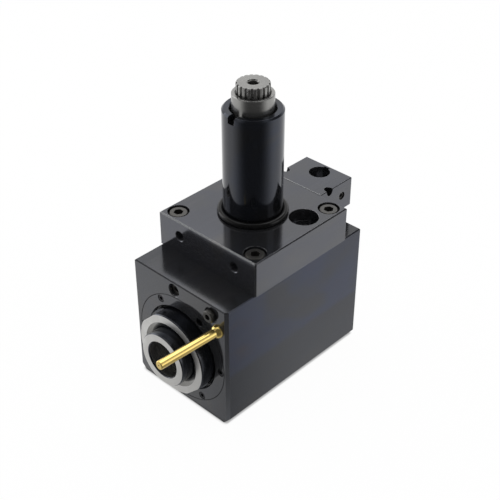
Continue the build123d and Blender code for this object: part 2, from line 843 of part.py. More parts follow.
def spindle():
    """The collet spindle: nose with wrench flats, threaded mouth and taper, and the seats behind it."""
    nose = nose_diameter / 2
    body = turned(*spindle_outside(), *spindle_inside())
    flat = block(flat_reach, nose, -nose, nose, nose_face - flat_length, nose_face)
    body -= [Rot(0, 0, angle) * flat for angle in (-45, 135)]
    body -= key(spindle_key_angle, ease=fit)
    return on_spindle(one_solid(body - circlip_groove()))


def collet_nut():
    """The round clamping nut: it screws into the nose and pushes the collet with its inner cone."""
    r, opening, cavity, bevel = nut_diameter / 2, nut_opening / 2, nut_cavity / 2, nut_chamfer
    low, high, land = nut_face - nut_length, nut_face, nut_face - nut_land
    cone = land - (cavity - opening) / tan(radians(nut_cone_angle))
    outside = ((cavity, low), (r - bevel, low), (r, low + bevel), (r, high - bevel), (r - bevel, high))
    inside = ((opening + bevel, high), (opening, high - bevel), (opening, land), (cavity, cone))
    return on_spindle(turned(*outside, *inside))


def spindle_lock_nut():
    end = -rear_bearing_end - running
    return on_spindle(slotted_nut(rear_thread, rear_nut_diameter, end - rear_nut_width, end))


# Drive unit

def spline_gap():
    """The space between two spline teeth, as a prism about the shaft."""
    root, out, step = spline_root / 2, spline_diameter / 2 + 1, pi / spline_teeth
    near = root * sin(step) - spline_root_width / 2
    far = out * sin(step) - spline_tip_width / 2
    outline = Polygon((root, -near), (out, -far), (out, far), (root, near), align=None)
    return Pos(0, 0, collar_top - spline_hidden) * extrude(outline, spline_length + spline_hidden)


def centre_drill():
    """The lathe centre in the shaft's end, from z = 0 down."""
    r, sink = centre_hole / 2, (centre_sink - centre_hole) / 2
    point = r / tan(radians(drill_angle / 2))
    mouth = ((0, 0), (centre_sink / 2, 0), (r, -sink), (r, -centre_hole_depth))
    return turned(*mouth, (0, -centre_hole_depth - point))


def drive_shaft():
    """The shaft from the bevel pinion up through the shank to the splined end."""
    seat, middle, journal = gear_bore / 2, drive_shaft_middle / 2, drive_bearing["bore"] / 2
    tip, top, spline_low = spline_diameter / 2, shaft_top, collar_top - spline_hidden
    end, step, nut = -spindle_drop + circlip_end - shaft_overhang, needle_low - shaft_step_gap, drive_nut_top
    foot = ((0, end), (seat - small_bevel, end), (seat, end + small_bevel), (seat, drive_bearing_low))
    rod = ((journal, drive_bearing_low), (journal, nut), (middle, nut + small_bevel), (middle, step))
    neck = ((seat, step + shaft_step), (seat, spline_low), (tip, spline_low), (tip, top - spline_chamfer))
    body = turned(*foot, *rod, *neck, (tip - spline_chamfer, top), (0, top))
    body -= around(spline_teeth, 0, spline_gap(), 180 / spline_teeth)
    body -= Pos(0, 0, top) * centre_drill()
    lift = Pos(0, 0, -spindle_drop)
    return one_solid(body - lift * key(drive_key_angle, ease=fit) - lift * circlip_groove())


def drive_collar():
    """The ground sleeve on the shaft's top, between the shank and the spline."""
    inner, outer = gear_bore / 2 + fit, collar_diameter / 2
    recess, floor = inner + collar_recess_width, collar_top - collar_recess
    outside = ((inner, collar_low), (outer - small_bevel, collar_low), (outer, collar_low + small_bevel))
    rim = ((outer, collar_top - collar_bevel), (outer - collar_bevel, collar_top), (recess, collar_top))
    return turned(*outside, *rim, (recess, floor), (inner, floor))


def shank_seal():
    """The lip seal under the collar."""
    outer, shaft, low = shank_mouth / 2 - fit, gear_bore / 2, needle_high + running
    waist, lip, high = shaft + lip_seal_gap, shaft + running, low + lip_seal_width
    edge = ((waist, high), (lip, high - seal_lip), (lip, high - 2 * seal_lip), (waist, low + lip_seal_gap))
    return turned((waist, low), (outer, low), (outer, high), *edge)


def on_pinion(shape):
    """Carries a gear's shape to the drive shaft: its cones' apex goes to the spindle's axis."""
    return Pos(0, 0, -spindle_drop) * shape


# Coolant nozzle and the small parts of the front wall

def coolant_nozzle():
    """A straight tube on a ball, drilled through, that swivels in the front face."""
    r, end = nozzle_tube / 2, nozzle_length
    tube = turned((0, 0), (r, 0), (r, end - small_bevel), (r - small_bevel, end), (0, end))
    body = Sphere(nozzle_ball / 2) + tube - disc(nozzle_bore, -nozzle_ball, end)
    place = Pos(nozzle_x, nozzle_sunk - housing_front, -nozzle_drop) * Rot(0, 0, -nozzle_yaw) * Rot(90, 0, 0)
    return place * one_solid(body)


def nozzle_lock_screw():
    face = out_of_front(lock_screw_x, housing_front - lock_screw_seat, lock_screw_drop)
    return face * cap_screw(lock_screw, lock_screw_length)


def channel_plug():
    face = out_of_front(plug_x, housing_front - plug_recess, plug_drop)
    return face * set_screw(plug_diameter, plug_length)


drive_thread, drive_seat = drive_bearing["bore"], drive_bearing["outside"]
parts = {
    "housing": [housing()],
    "flange_block": [flange_block()],
    "alignment_block": [alignment_block()],
    "front_cover": [front_cover()],
    "rear_cover": [rear_cover()],
    "flange_screws": flange_screws(),
    "alignment_block_screws": alignment_fixings(),
    "alignment_screw_left": [alignment_screw(-1)],
    "alignment_screw_right": [alignment_screw(1)],
    "front_cover_screws": cover_screws(),
    "rear_cover_screws": rear_cover_screws(),
    "front_seal": [front_seal()],
    "shank_seal": [shank_seal()],
    "shank_ring": [shank_ring()],
    "flange_ring": [small_ring(spigot_diameter, flange_ring_height)],
    "rear_cover_ring": [on_rear(small_ring(rear_spigot, rear_ring_place))],
    "spindle": [spindle()],
    "collet_nut": [collet_nut()],
    "spindle_gear": [on_spindle(bevel_gear(spindle_key_angle))],
    "spindle_gear_key": [on_spindle(key(spindle_key_angle))],
    "spindle_gear_circlip": [on_spindle(shaft_circlip(gear_bore, circlip_end))],
    "spindle_lock_nut": [spindle_lock_nut()],
    "drive_shaft": [drive_shaft()],
    "drive_collar": [drive_collar()],
    "drive_pinion": [on_pinion(bevel_gear(drive_key_angle))],
    "drive_pinion_key": [on_pinion(key(drive_key_angle))],
    "drive_pinion_circlip": [on_pinion(shaft_circlip(gear_bore, circlip_end))],
    "drive_lock_nut": [slotted_nut(drive_thread, drive_nut_diameter, drive_bearing_high, drive_nut_top)],
    "drive_bearing_circlip": [bore_circlip(drive_seat, drive_bearing_low - circlip_width)],
    "coolant_nozzle": [coolant_nozzle()],
    "nozzle_lock_screw": [nozzle_lock_screw()],
    "channel_plug": [channel_plug()],
}
front_lows = (gear_back, gear_back + front_bearing["width"])
drive_lows = (drive_bearing_low, drive_bearing_low + drive_bearing["width"])
parts |= needle_parts()
parts |= bearing_parts("front_bearing", front_bearing, front_lows, on_spindle)
parts |= bearing_parts("rear_bearing", rear_bearing, (-rear_bearing_end,), on_spindle)
parts |= bearing_parts("drive_bearing", drive_bearing, drive_lows, on_shank)

for name, solids in parts.items():
    export_step(Compound(children=solids) if len(solids) > 1 else solids[0], f"parts/{name}.step")
print(len(parts), "nodes,", sum(len(solids) for solids in parts.values()), "solids")
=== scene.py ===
# %% [markdown]
# A radial driven tool holder, dressed for a studio picture.
# The CAD frame already holds every machined piece at full size, so this lesson is about finishes:
# blackened and ground steel, bright turned steel, brass and rubber. A few small things that repeat, such as
# the knurls of the screw heads and the thread turns in the open holes, are made here with Geometry Nodes.

import json
from math import cos, radians, sin

import bpy
from mathutils import Matrix, Vector


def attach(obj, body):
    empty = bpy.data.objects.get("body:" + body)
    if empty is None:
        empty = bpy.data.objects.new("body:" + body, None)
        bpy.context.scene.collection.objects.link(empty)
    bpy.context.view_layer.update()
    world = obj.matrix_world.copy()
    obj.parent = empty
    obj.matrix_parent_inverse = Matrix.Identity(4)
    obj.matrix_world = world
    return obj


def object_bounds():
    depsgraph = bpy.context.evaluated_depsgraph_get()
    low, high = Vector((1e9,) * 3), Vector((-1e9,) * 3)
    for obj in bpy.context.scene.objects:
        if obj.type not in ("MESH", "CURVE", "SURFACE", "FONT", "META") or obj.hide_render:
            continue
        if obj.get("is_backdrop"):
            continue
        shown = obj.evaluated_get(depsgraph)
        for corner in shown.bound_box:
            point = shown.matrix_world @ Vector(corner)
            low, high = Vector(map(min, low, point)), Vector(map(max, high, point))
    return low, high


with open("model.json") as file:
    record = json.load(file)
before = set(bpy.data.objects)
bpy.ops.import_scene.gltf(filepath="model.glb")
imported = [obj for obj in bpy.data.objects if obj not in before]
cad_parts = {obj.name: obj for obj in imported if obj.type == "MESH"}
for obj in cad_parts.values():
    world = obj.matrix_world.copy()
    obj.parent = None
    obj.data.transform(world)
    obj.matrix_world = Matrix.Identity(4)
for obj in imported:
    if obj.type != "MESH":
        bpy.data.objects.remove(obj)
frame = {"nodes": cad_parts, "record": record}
nodes = frame["nodes"]
cad_box = [list(corner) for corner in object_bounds()]
mm = 0.001

# %% [markdown]
# The camera comes first, because every finish is judged through it. The picture was taken from the front
# right, well above the holder. The distance and the lens below were worked out together from corners,
# circle centres and rims in the picture: a long distance with a long lens gives the nearly parallel edges
# that product pictures have.

# %% Camera
camera_azimuth = radians(43.629)
camera_elevation = radians(35.182)
camera_distance = 686.16 * mm
aim_right = -1.965 * mm
aim_up = -26.581 * mm
frame_pixels = 500
focal_pixels = 1031.43

camera_data = bpy.data.cameras.new("camera")
camera_data.sensor_width = 36.0
camera_data.lens = focal_pixels / frame_pixels * camera_data.sensor_width
camera = bpy.data.objects.new("camera", camera_data)
bpy.context.scene.collection.objects.link(camera)
bpy.context.scene.camera = camera

front_side = Vector((sin(camera_azimuth), -cos(camera_azimuth), 0))
right_side = Vector((cos(camera_azimuth), sin(camera_azimuth), 0))
back = cos(camera_elevation) * front_side + Vector((0, 0, sin(camera_elevation)))
up = back.cross(right_side)
camera.location = aim_right * right_side + aim_up * up + camera_distance * back
camera.rotation_mode = "QUATERNION"
camera.rotation_quaternion = back.to_track_quat("Z", "Y")
print("lens:", round(camera_data.lens, 2), "mm")

# %% [markdown]
# Glossy blackened steel shows what stands around it more than its own colour. So the surroundings are
# designed as a studio would be: white all round, fading to a dark room on the side where the photographer
# stands, and darker walls high on the left and the right. The dark front puts the black core on the round
# shank and the dark lines on the upright corners, and the walls keep the bevels along the top edges from
# shining white. Everything is fixed in the room and stays there when the camera moves, but it is laid out
# for this one view. Only mirror rays see these tones: the camera sees plain white, and an even white lights
# the holder. Materials are made of nodes, so a few helpers keep the code short.


# %% Node helpers
def add(tree, kind, **settings):
    """Adds a node and sets its plain settings."""
    node = tree.nodes.new(kind)
    for name, value in settings.items():
        setattr(node, name, value)
    return node


def feed(tree, socket, value):
    """Gives an input a link, a number or a colour."""
    if hasattr(value, "links"):
        tree.links.new(value, socket)
    elif socket.type == "RGBA" and len(value) == 3:
        socket.default_value = (*value, 1)
    else:
        socket.default_value = value


def maths(tree, operation, *values, clamp=False):
    """A Math node whose inputs are sockets or numbers; returns its output."""
    node = add(tree, "ShaderNodeMath", operation=operation, use_clamp=clamp)
    for socket, value in zip(node.inputs, values):
        feed(tree, socket, value)
    return node.outputs[0]


def vector_maths(tree, operation, *values):
    """A Vector Math node; returns its number for a dot product or a length, and else its vector."""
    node = add(tree, "ShaderNodeVectorMath", operation=operation)
    for socket, value in zip(node.inputs, values):
        feed(tree, socket, value)
    return node.outputs["Value"] if operation in ("DOT_PRODUCT", "LENGTH") else node.outputs["Vector"]


def fade(tree, value, start, end, low, high):
    """A soft step: low before the start, high after the end."""
    node = add(tree, "ShaderNodeMapRange", interpolation_type="SMOOTHSTEP")
    names = ("Value", "From Min", "From Max", "To Min", "To Max")
    for name, number in zip(names, (value, start, end, low, high)):
        feed(tree, node.inputs[name], number)
    return node.outputs[0]


def mix_colour(tree, factor, first, second, blend="MIX"):
    """A Mix node for colours; returns its colour output."""
    node = add(tree, "ShaderNodeMix", data_type="RGBA", blend_type=blend)
    feed(tree, node.inputs[0], factor)
    for socket, value in zip([s for s in node.inputs if s.type == "RGBA"], (first, second)):
        feed(tree, socket, value)
    return next(s for s in node.outputs if s.type == "RGBA")


def mix_number(tree, factor, first, second):
    """A Mix node for numbers; returns its output."""
    node = add(tree, "ShaderNodeMix", data_type="FLOAT")
    for index, value in ((0, factor), (2, first), (3, second)):
        feed(tree, node.inputs[index], value)
    return node.outputs[0]


def mix_shader(tree, factor, first, second):
    node = add(tree, "ShaderNodeMixShader")
    for socket, value in zip(node.inputs, (factor, first, second)):
        feed(tree, socket, value)
    return node.outputs[0]


def seen_in_gloss(tree):
    """Light Path's answer to whether a ray comes from a mirror or from glass."""
    path = add(tree, "ShaderNodeLightPath")
    return maths(tree, "MAXIMUM", path.outputs["Is Glossy Ray"], path.outputs["Is Transmission Ray"]), path


# %% Room tones
white_room = 0.97
dark_room = 0.05
fade_start = 0.08
fade_end = 0.84
right_wall = 0.12
left_wall = 0.33
wall_foot, wall_top = 0.25, 0.5
wall_near, wall_far = 0.45, 0.75
watch_height = 0.04
ambient_level = 0.75


def room_tone(tree, direction):
    """The room's brightness in a direction: dark in front, darker high on both sides, and else white."""
    towards_front = vector_maths(tree, "DOT_PRODUCT", direction, front_side)
    rise = vector_maths(tree, "DOT_PRODUCT", direction, (0, 0, 1))
    steeper = maths(tree, "ADD", maths(tree, "MAXIMUM", rise, 0.0), 1.0)
    frontal = maths(tree, "MULTIPLY", towards_front, steeper)
    front = fade(tree, frontal, fade_start, fade_end, white_room, dark_room)
    towards_right = vector_maths(tree, "DOT_PRODUCT", direction, right_side)
    high = fade(tree, rise, wall_foot, wall_top, 0, 1)
    right = maths(tree, "MULTIPLY", fade(tree, towards_right, wall_near, wall_far, 0, 1), high)
    left = maths(tree, "MULTIPLY", fade(tree, towards_right, -wall_far, -wall_near, 1, 0), high)
    return mix_number(tree, left, mix_number(tree, right, front, right_wall), left_wall)


print("room tones from", dark_room, "to", white_room)


# %% World
def background(tree, colour, strength):
    node = add(tree, "ShaderNodeBackground")
    feed(tree, node.inputs["Color"], colour)
    feed(tree, node.inputs["Strength"], strength)
    return node.outputs[0]


def studio_world():
    world = bpy.data.worlds.new("white studio")
    world.use_nodes = True
    bpy.context.scene.world = world
    tree = world.node_tree
    tree.nodes.clear()
    direction = add(tree, "ShaderNodeTexCoord").outputs["Generated"]
    in_gloss, path = seen_in_gloss(tree)
    mirrored = background(tree, room_tone(tree, direction), 1.0)
    lighting = background(tree, (1, 1, 1), ambient_level)
    seen = background(tree, (1, 1, 1), 1.0)
    light = mix_shader(tree, in_gloss, lighting, mirrored)
    result = mix_shader(tree, path.outputs["Is Camera Ray"], light, seen)
    tree.links.new(result, add(tree, "ShaderNodeOutputWorld").inputs[0])


studio_world()
bpy.context.scene.view_settings.view_transform = "Standard"
print("world:", bpy.context.scene.world.name)

# %% [markdown]
# The holder stands on a white table that takes nearly no shadow, only the thin dark line where it touches.
# For the camera 97 percent of the table's light is its own, so it joins the white world with hardly a seam,
# and only 3 percent of the true shadow is left. The thin dark line is a painted contact shadow: an Ambient
# Occlusion node with a short reach darkens the table's own glow near the holder. In reflections the table
# has the same tones as the room. A plain white floor would be simpler, but it would show a full soft shadow,
# which the picture doesn't have.

# %% Floor
floor_z = cad_box[0][2]
floor_half = 4.0
floor_glow = 0.97
floor_white = 0.95
painted_shadow_reach = 2.5 * mm
painted_shadow_dark = 0.40
painted_shadow_open = 0.35
contact_samples = 16


def emission(tree, colour):
    node = add(tree, "ShaderNodeEmission")
    feed(tree, node.inputs["Color"], colour)
    return node.outputs[0]


def floor_material():
    material = bpy.data.materials.new("white table")
    material.use_nodes = True
    tree = material.node_tree
    tree.nodes.clear()
    in_gloss, path = seen_in_gloss(tree)
    place = add(tree, "ShaderNodeTexCoord").outputs["Object"]
    from_holder = vector_maths(tree, "SUBTRACT", place, (0, 0, watch_height))
    tone = room_tone(tree, vector_maths(tree, "NORMALIZE", from_holder))
    diffuse = add(tree, "ShaderNodeBsdfDiffuse")
    feed(tree, diffuse.inputs["Color"], (floor_white, floor_white, floor_white))
    # Painted contact shadow: Ambient Occlusion darkens the table's glow within a short reach of the holder.
    near = add(tree, "ShaderNodeAmbientOcclusion", samples=contact_samples)
    feed(tree, near.inputs["Distance"], painted_shadow_reach)
    contact = fade(tree, near.outputs["AO"], painted_shadow_open, 1.0, painted_shadow_dark, 1.0)
    seen = mix_shader(tree, floor_glow, diffuse.outputs[0], emission(tree, contact))
    mirrored = emission(tree, maths(tree, "MULTIPLY", tone, contact))
    light = mix_shader(tree, in_gloss, diffuse.outputs[0], mirrored)
    result = mix_shader(tree, path.outputs["Is Camera Ray"], light, seen)
    tree.links.new(result, add(tree, "ShaderNodeOutputMaterial").inputs[0])
    return material


def make_floor():
    mesh = bpy.data.meshes.new("floor")
    corners = [(x * floor_half, y * floor_half, floor_z) for x, y in ((-1, -1), (1, -1), (1, 1), (-1, 1))]
    mesh.from_pydata(corners, [], [(0, 1, 2, 3)])
    mesh.materials.append(floor_material())
    floor = bpy.data.objects.new("floor", mesh)
    bpy.context.scene.collection.objects.link(floor)
    floor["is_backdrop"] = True


make_floor()
print("floor at", round(floor_z / mm, 2), "mm")

# %% [markdown]
# The room makes most of the look, and three soft lamps add a little. A large one overhead and a little
# behind lifts the level faces, most of all the ledge in front of the plate. A panel on each side adds to the
# round parts, and all three draw the bright line on the brass tube. Small lamps would do this too, but
# turned steel shows a small lamp as a hard glint.


# %% Lamps
def soft_lamp(name, place, towards, size, power):
    data = bpy.data.lights.new(name, "AREA")
    data.shape = "RECTANGLE"
    data.size, data.size_y = size
    data.energy = power
    lamp = bpy.data.objects.new(name, data)
    lamp.location = place
    lamp.rotation_mode = "QUATERNION"
    lamp.rotation_quaternion = (Vector(place) - Vector(towards)).to_track_quat("Z", "Y")
    bpy.context.scene.collection.objects.link(lamp)


lamps = {
    "overhead": ((-0.25, 0.45, 0.95), (0.9, 0.9), 3.0),
    "left panel": ((-0.95, -0.35, 0.35), (0.5, 0.9), 2.0),
    "right panel": ((0.95, 0.45, 0.35), (0.5, 0.9), 1.0),
}
lamp_target = (0, 0, -0.03)
for name, (place, size, power) in lamps.items():
    soft_lamp(name, place, lamp_target, size, power)
print("lamps:", len(lamps))

# %% [markdown]
# The frame's turned faces are made of flat strips. A small Geometry Nodes tree welds their corners and
# shades them smoothly wherever two faces meet at a shallow angle, so that cylinders look turned while
# machined edges stay crisp. Smoothing by angle alone would leave a faint line where one CAD face runs
# smoothly into the next, because each face brings corners of its own.

# %% Smooth turned faces
weld_distance = 0.002 * mm
smooth_angle = radians(24)


def new_tree(name, numbers):
    """A Geometry Nodes tree with named number inputs; returns it with its first and last node."""
    tree = bpy.data.node_groups.new(name, "GeometryNodeTree")
    tree.is_modifier = True
    tree.interface.new_socket("Geometry", in_out="INPUT", socket_type="NodeSocketGeometry")
    for label, value in numbers.items():
        kind = "NodeSocketInt" if isinstance(value, int) else "NodeSocketFloat"
        tree.interface.new_socket(label, in_out="INPUT", socket_type=kind).default_value = value
    tree.interface.new_socket("Geometry", in_out="OUTPUT", socket_type="NodeSocketGeometry")
    return tree, add(tree, "NodeGroupInput"), add(tree, "NodeGroupOutput")


def smooth_tree():
    limits = {"Weld Distance": weld_distance, "Sharp Angle": smooth_angle}
    tree, given, out = new_tree("smooth turned faces", limits)
    merge = add(tree, "GeometryNodeMergeByDistance")
    tree.links.new(given.outputs["Geometry"], merge.inputs["Geometry"])
    tree.links.new(given.outputs["Weld Distance"], merge.inputs["Distance"])
    faces = add(tree, "GeometryNodeSetShadeSmooth", domain="FACE")
    tree.links.new(merge.outputs[0], faces.inputs[0])
    faces.inputs["Shade Smooth"].default_value = True
    edge = add(tree, "GeometryNodeInputMeshEdgeAngle")
    sharp = add(tree, "FunctionNodeCompare", data_type="FLOAT", operation="GREATER_THAN")
    tree.links.new(edge.outputs["Unsigned Angle"], sharp.inputs["A"])
    tree.links.new(given.outputs["Sharp Angle"], sharp.inputs["B"])
    edges = add(tree, "GeometryNodeSetShadeSmooth", domain="EDGE")
    tree.links.new(faces.outputs[0], edges.inputs[0])
    tree.links.new(sharp.outputs[0], edges.inputs["Selection"])
    edges.inputs["Shade Smooth"].default_value = False
    tree.links.new(edges.outputs[0], out.inputs[0])
    return tree


smoother = smooth_tree()
for node in nodes.values():
    node.modifiers.new("smooth turned faces", "NODES").node_group = smoother
print("smoothed", len(nodes), "nodes")

# %% [markdown]
# Every metal here is the same recipe with its own values: a machining lay, an oily film that tints it in
# patches, and edges that handling has rubbed. Each is a node group that the materials share. There is one
# lay for ground faces, a noise stretched along the grinding direction. Turned faces have one for each axis,
# a noise on the distance from the axis and on the place along it, which gives rings. Pictures wrapped
# around the pieces could carry the same marks, but then every piece would have to be unwrapped, and these
# patterns need only its own coordinates.


# %% Group helpers
def new_group(name, numbers, outputs):
    """A shader node group with named inputs and outputs; returns it with its first and last node."""
    tree = bpy.data.node_groups.new(name, "ShaderNodeTree")
    for label, value in numbers.items():
        tree.interface.new_socket(label, in_out="INPUT", socket_type="NodeSocketFloat").default_value = value
    for label, kind in outputs.items():
        tree.interface.new_socket(label, in_out="OUTPUT", socket_type=kind)
    return tree, add(tree, "NodeGroupInput"), add(tree, "NodeGroupOutput")


def use_group(tree, group, numbers):
    """Places a group in a material with its own values."""
    node = add(tree, "ShaderNodeGroup", node_tree=group)
    for label, value in numbers.items():
        node.inputs[label].default_value = value
    return node


def noise(tree, vector, scale, detail=2.0, distortion=0.0):
    node = add(tree, "ShaderNodeTexNoise")
    for name, value in (("Vector", vector), ("Scale", scale), ("Detail", detail), ("Distortion", distortion)):
        feed(tree, node.inputs[name], value)
    return node.outputs[0]


lay_outputs = {"Height": "NodeSocketFloat", "Streak": "NodeSocketFloat"}
streak_share = 0.22
grinding_detail = 3.0


# %% Grinding lay
def ground_lay():
    stretch = {"Along X": 1.0, "Along Y": 1.0, "Along Z": 1.0}
    tree, given, out = new_group("grinding lay", stretch, lay_outputs)
    place = add(tree, "ShaderNodeTexCoord").outputs["Object"]
    scale = add(tree, "ShaderNodeCombineXYZ")
    for axis in "XYZ":
        tree.links.new(given.outputs["Along " + axis], scale.inputs[axis])
    stretched = vector_maths(tree, "MULTIPLY", place, scale.outputs[0])
    tree.links.new(noise(tree, stretched, 1.0, grinding_detail), out.inputs["Height"])
    tree.links.new(noise(tree, stretched, streak_share), out.inputs["Streak"])
    return tree


grinding_lay = ground_lay()
print(grinding_lay.name)

# %% Turning lay
spindle_axis_z = -77 * mm


def turned_lay(name, turn, shift):
    """Rings about an axis, after a turn and a shift that bring the axis to local Y."""
    tree, given, out = new_group(name, {"Rings": 4000.0}, lay_outputs)
    mapping = add(tree, "ShaderNodeMapping")
    feed(tree, mapping.inputs["Rotation"], turn)
    feed(tree, mapping.inputs["Location"], shift)
    tree.links.new(add(tree, "ShaderNodeTexCoord").outputs["Object"], mapping.inputs["Vector"])
    across = vector_maths(tree, "LENGTH", vector_maths(tree, "MULTIPLY", mapping.outputs[0], (1, 0, 1)))
    along = vector_maths(tree, "DOT_PRODUCT", mapping.outputs[0], (0, 1, 0))
    point = add(tree, "ShaderNodeCombineXYZ")
    tree.links.new(maths(tree, "MULTIPLY", across, given.outputs["Rings"]), point.inputs["X"])
    tree.links.new(maths(tree, "MULTIPLY", along, given.outputs["Rings"]), point.inputs["Y"])
    tree.links.new(noise(tree, point.outputs[0], 1.0), out.inputs["Height"])
    tree.links.new(noise(tree, point.outputs[0], streak_share), out.inputs["Streak"])
    return tree


shank_lay = turned_lay("turning lay about the shank", (radians(90), 0, 0), (0, 0, 0))
spindle_lay = turned_lay("turning lay about the spindle", (0, 0, 0), (0, 0, -spindle_axis_z))
print(shank_lay.name, "and", spindle_lay.name)


# %% Edge wear
edge_samples = 6


def worn_edges():
    """Rounds the shaded normal near sharp edges, and gives a mask of them."""
    outputs = {"Mask": "NodeSocketFloat", "Normal": "NodeSocketVector"}
    tree, given, out = new_group("edge wear", {"Width": 0.3 * mm, "Gain": 6.0}, outputs)
    rounded = add(tree, "ShaderNodeBevel", samples=edge_samples)
    tree.links.new(given.outputs["Width"], rounded.inputs["Radius"])
    true_normal = add(tree, "ShaderNodeNewGeometry").outputs["Normal"]
    away = maths(tree, "SUBTRACT", 1.0, vector_maths(tree, "DOT_PRODUCT", rounded.outputs[0], true_normal))
    tree.links.new(maths(tree, "MULTIPLY", away, given.outputs["Gain"], clamp=True), out.inputs["Mask"])
    tree.links.new(rounded.outputs[0], out.inputs["Normal"])
    return tree


edge_wear = worn_edges()
print(edge_wear.name)


# %% Oil film
patch_detail = 3.0
patch_twist = 0.5
speckle_scale = 2500.0


def film():
    """Large soft patches, as black oxide and its oil have them, and a fine speckle."""
    outputs = {"Patch": "NodeSocketFloat", "Speckle": "NodeSocketFloat"}
    tree, given, out = new_group("oil film", {"Scale": 30.0, "Along Y": 0.5}, outputs)
    place = add(tree, "ShaderNodeTexCoord").outputs["Object"]
    scale = add(tree, "ShaderNodeCombineXYZ")
    feed(tree, scale.inputs["X"], 1.0)
    feed(tree, scale.inputs["Z"], 1.0)
    tree.links.new(given.outputs["Along Y"], scale.inputs["Y"])
    stretched = vector_maths(tree, "MULTIPLY", place, scale.outputs[0])
    patch = noise(tree, stretched, given.outputs["Scale"], patch_detail, patch_twist)
    tree.links.new(patch, out.inputs["Patch"])
    tree.links.new(noise(tree, place, speckle_scale), out.inputs["Speckle"])
    return tree


oil_film = film()
print(oil_film.name)

# %% [markdown]
# Now the recipe itself. A look holds one finish's values. A material takes one look, and others that masks
# lay over it: the flange block is one piece of steel with a ground plate and a turned shank, and the
# spindle is blackened with ground front faces and a ground bore, so each of them needs several looks in one
# material. Giving single faces a material of their own would also work, but a mask can fade, and it leaves
# the CAD mesh as it is.


# %% Looks
def look(colours, worn, roughness, lay, lay_values, spread=0.08, wear=0.8, metal_share=0.92):
    """One finish: the colours of its film, its bare edge colour, its roughness and its machining lay."""
    return dict(colours=colours, worn=worn, roughness=roughness, lay=lay, lay_values=lay_values,
                spread=spread, wear=wear, metal_share=metal_share)


lengthwise = {"Along X": 5000.0, "Along Y": 120.0, "Along Z": 5000.0}
upright = {"Along X": 5000.0, "Along Y": 5000.0, "Along Z": 160.0}
rings = {"Rings": 5000.0}
plain_black = ((0.105, 0.107, 0.115), (0.098, 0.102, 0.118), (0.112, 0.112, 0.116))
block_black = ((0.078, 0.079, 0.082), (0.074, 0.077, 0.085), (0.084, 0.082, 0.083))
# Painted shade: the housing's level faces take this darker black.
ledge_shade_black = ((0.066, 0.067, 0.070), (0.062, 0.065, 0.073), (0.072, 0.070, 0.070))
# The side walls' patches of temper colour are real; their darker level is painted shade.
wall_shade_black = ((0.044, 0.046, 0.053), (0.038, 0.046, 0.076), (0.054, 0.045, 0.047))
# Painted shade: the lower half of the side walls is darker still.
low_wall_shade_black = ((0.042, 0.044, 0.049), (0.040, 0.043, 0.051), (0.044, 0.044, 0.047))
screw_black = ((0.074, 0.072, 0.068), (0.068, 0.067, 0.065), (0.080, 0.076, 0.070))
# Painted shade: near black for the seam around the cover and for the small cover screws in their holes.
shade_black = ((0.016, 0.016, 0.018), (0.014, 0.015, 0.018), (0.018, 0.017, 0.018))
shank_black = ((0.052, 0.054, 0.060), (0.046, 0.052, 0.068), (0.055, 0.056, 0.060))
bright = ((0.56, 0.555, 0.54), (0.52, 0.515, 0.50), (0.60, 0.60, 0.585))
shaft_grey = ((0.28, 0.278, 0.268), (0.25, 0.248, 0.24), (0.31, 0.31, 0.30))
# Painted highlight: a lighter grey for the front top bevels.
bevel_highlight_grey = ((0.30, 0.30, 0.31), (0.27, 0.28, 0.29), (0.33, 0.325, 0.325))
# Painted light: a lighter grey for the upright corner bevels.
corner_light_grey = ((0.13, 0.133, 0.142), (0.12, 0.125, 0.138), (0.14, 0.14, 0.144))
recess_grey = ((0.20, 0.197, 0.186), (0.18, 0.178, 0.17), (0.22, 0.217, 0.205))
brass_yellow = ((0.86, 0.64, 0.20), (0.80, 0.57, 0.16), (0.90, 0.70, 0.26))
looks = {
    "ground plate": look(plain_black, (0.30, 0.30, 0.31), 0.12, grinding_lay, lengthwise, metal_share=0.89),
    "ground block": look(block_black, (0.26, 0.26, 0.27), 0.08, grinding_lay, lengthwise, metal_share=0.84),
    "ledge with painted shade": look(ledge_shade_black, (0.22, 0.22, 0.23), 0.15, grinding_lay, lengthwise, metal_share=0.80),
    "lower wall with painted shade": look(low_wall_shade_black, (0.20, 0.20, 0.21), 0.24, grinding_lay, lengthwise),
    "side wall with painted shade": look(wall_shade_black, (0.20, 0.20, 0.21), 0.24, grinding_lay, lengthwise),
    "turned shank": look(shank_black, (0.16, 0.16, 0.17), 0.09, shank_lay, rings, spread=0.03, wear=0.4),
    "turned barrel": look(shank_black, (0.20, 0.20, 0.20), 0.16, spindle_lay, rings, wear=0.5),
    "ground face": look(bright, (0.75, 0.75, 0.74), 0.34, spindle_lay, rings),
    "ground taper": look(bright, (0.75, 0.75, 0.74), 0.28, spindle_lay, rings),
    "bright shaft": look(shaft_grey, (0.70, 0.70, 0.69), 0.24, shank_lay, rings),
    "bevel with painted highlight": look(bevel_highlight_grey, (0.70, 0.70, 0.70), 0.26, grinding_lay, lengthwise),
    "corner bevel with painted light": look(corner_light_grey, (0.40, 0.40, 0.41), 0.42, grinding_lay, upright),
    "polished recess": look(recess_grey, (0.55, 0.55, 0.54), 0.12, spindle_lay, rings, spread=0.04),
    "screw steel": look(screw_black, (0.38, 0.37, 0.35), 0.38, grinding_lay, upright),
    "steel with painted shade": look(shade_black, (0.03, 0.03, 0.03), 0.20, grinding_lay, upright, wear=0.2),
    "turned brass": look(brass_yellow, (0.98, 0.86, 0.48), 0.15, grinding_lay, lengthwise),
}
print("looks:", ", ".join(looks))

# %% Metal recipe
relief_strength = 0.12
relief_distance = 0.02 * mm
cool_start, cool_end = 0.38, 0.56
warm_start, warm_end = 0.51, 0.68
streak_wear = 0.10
wear_gain = 2


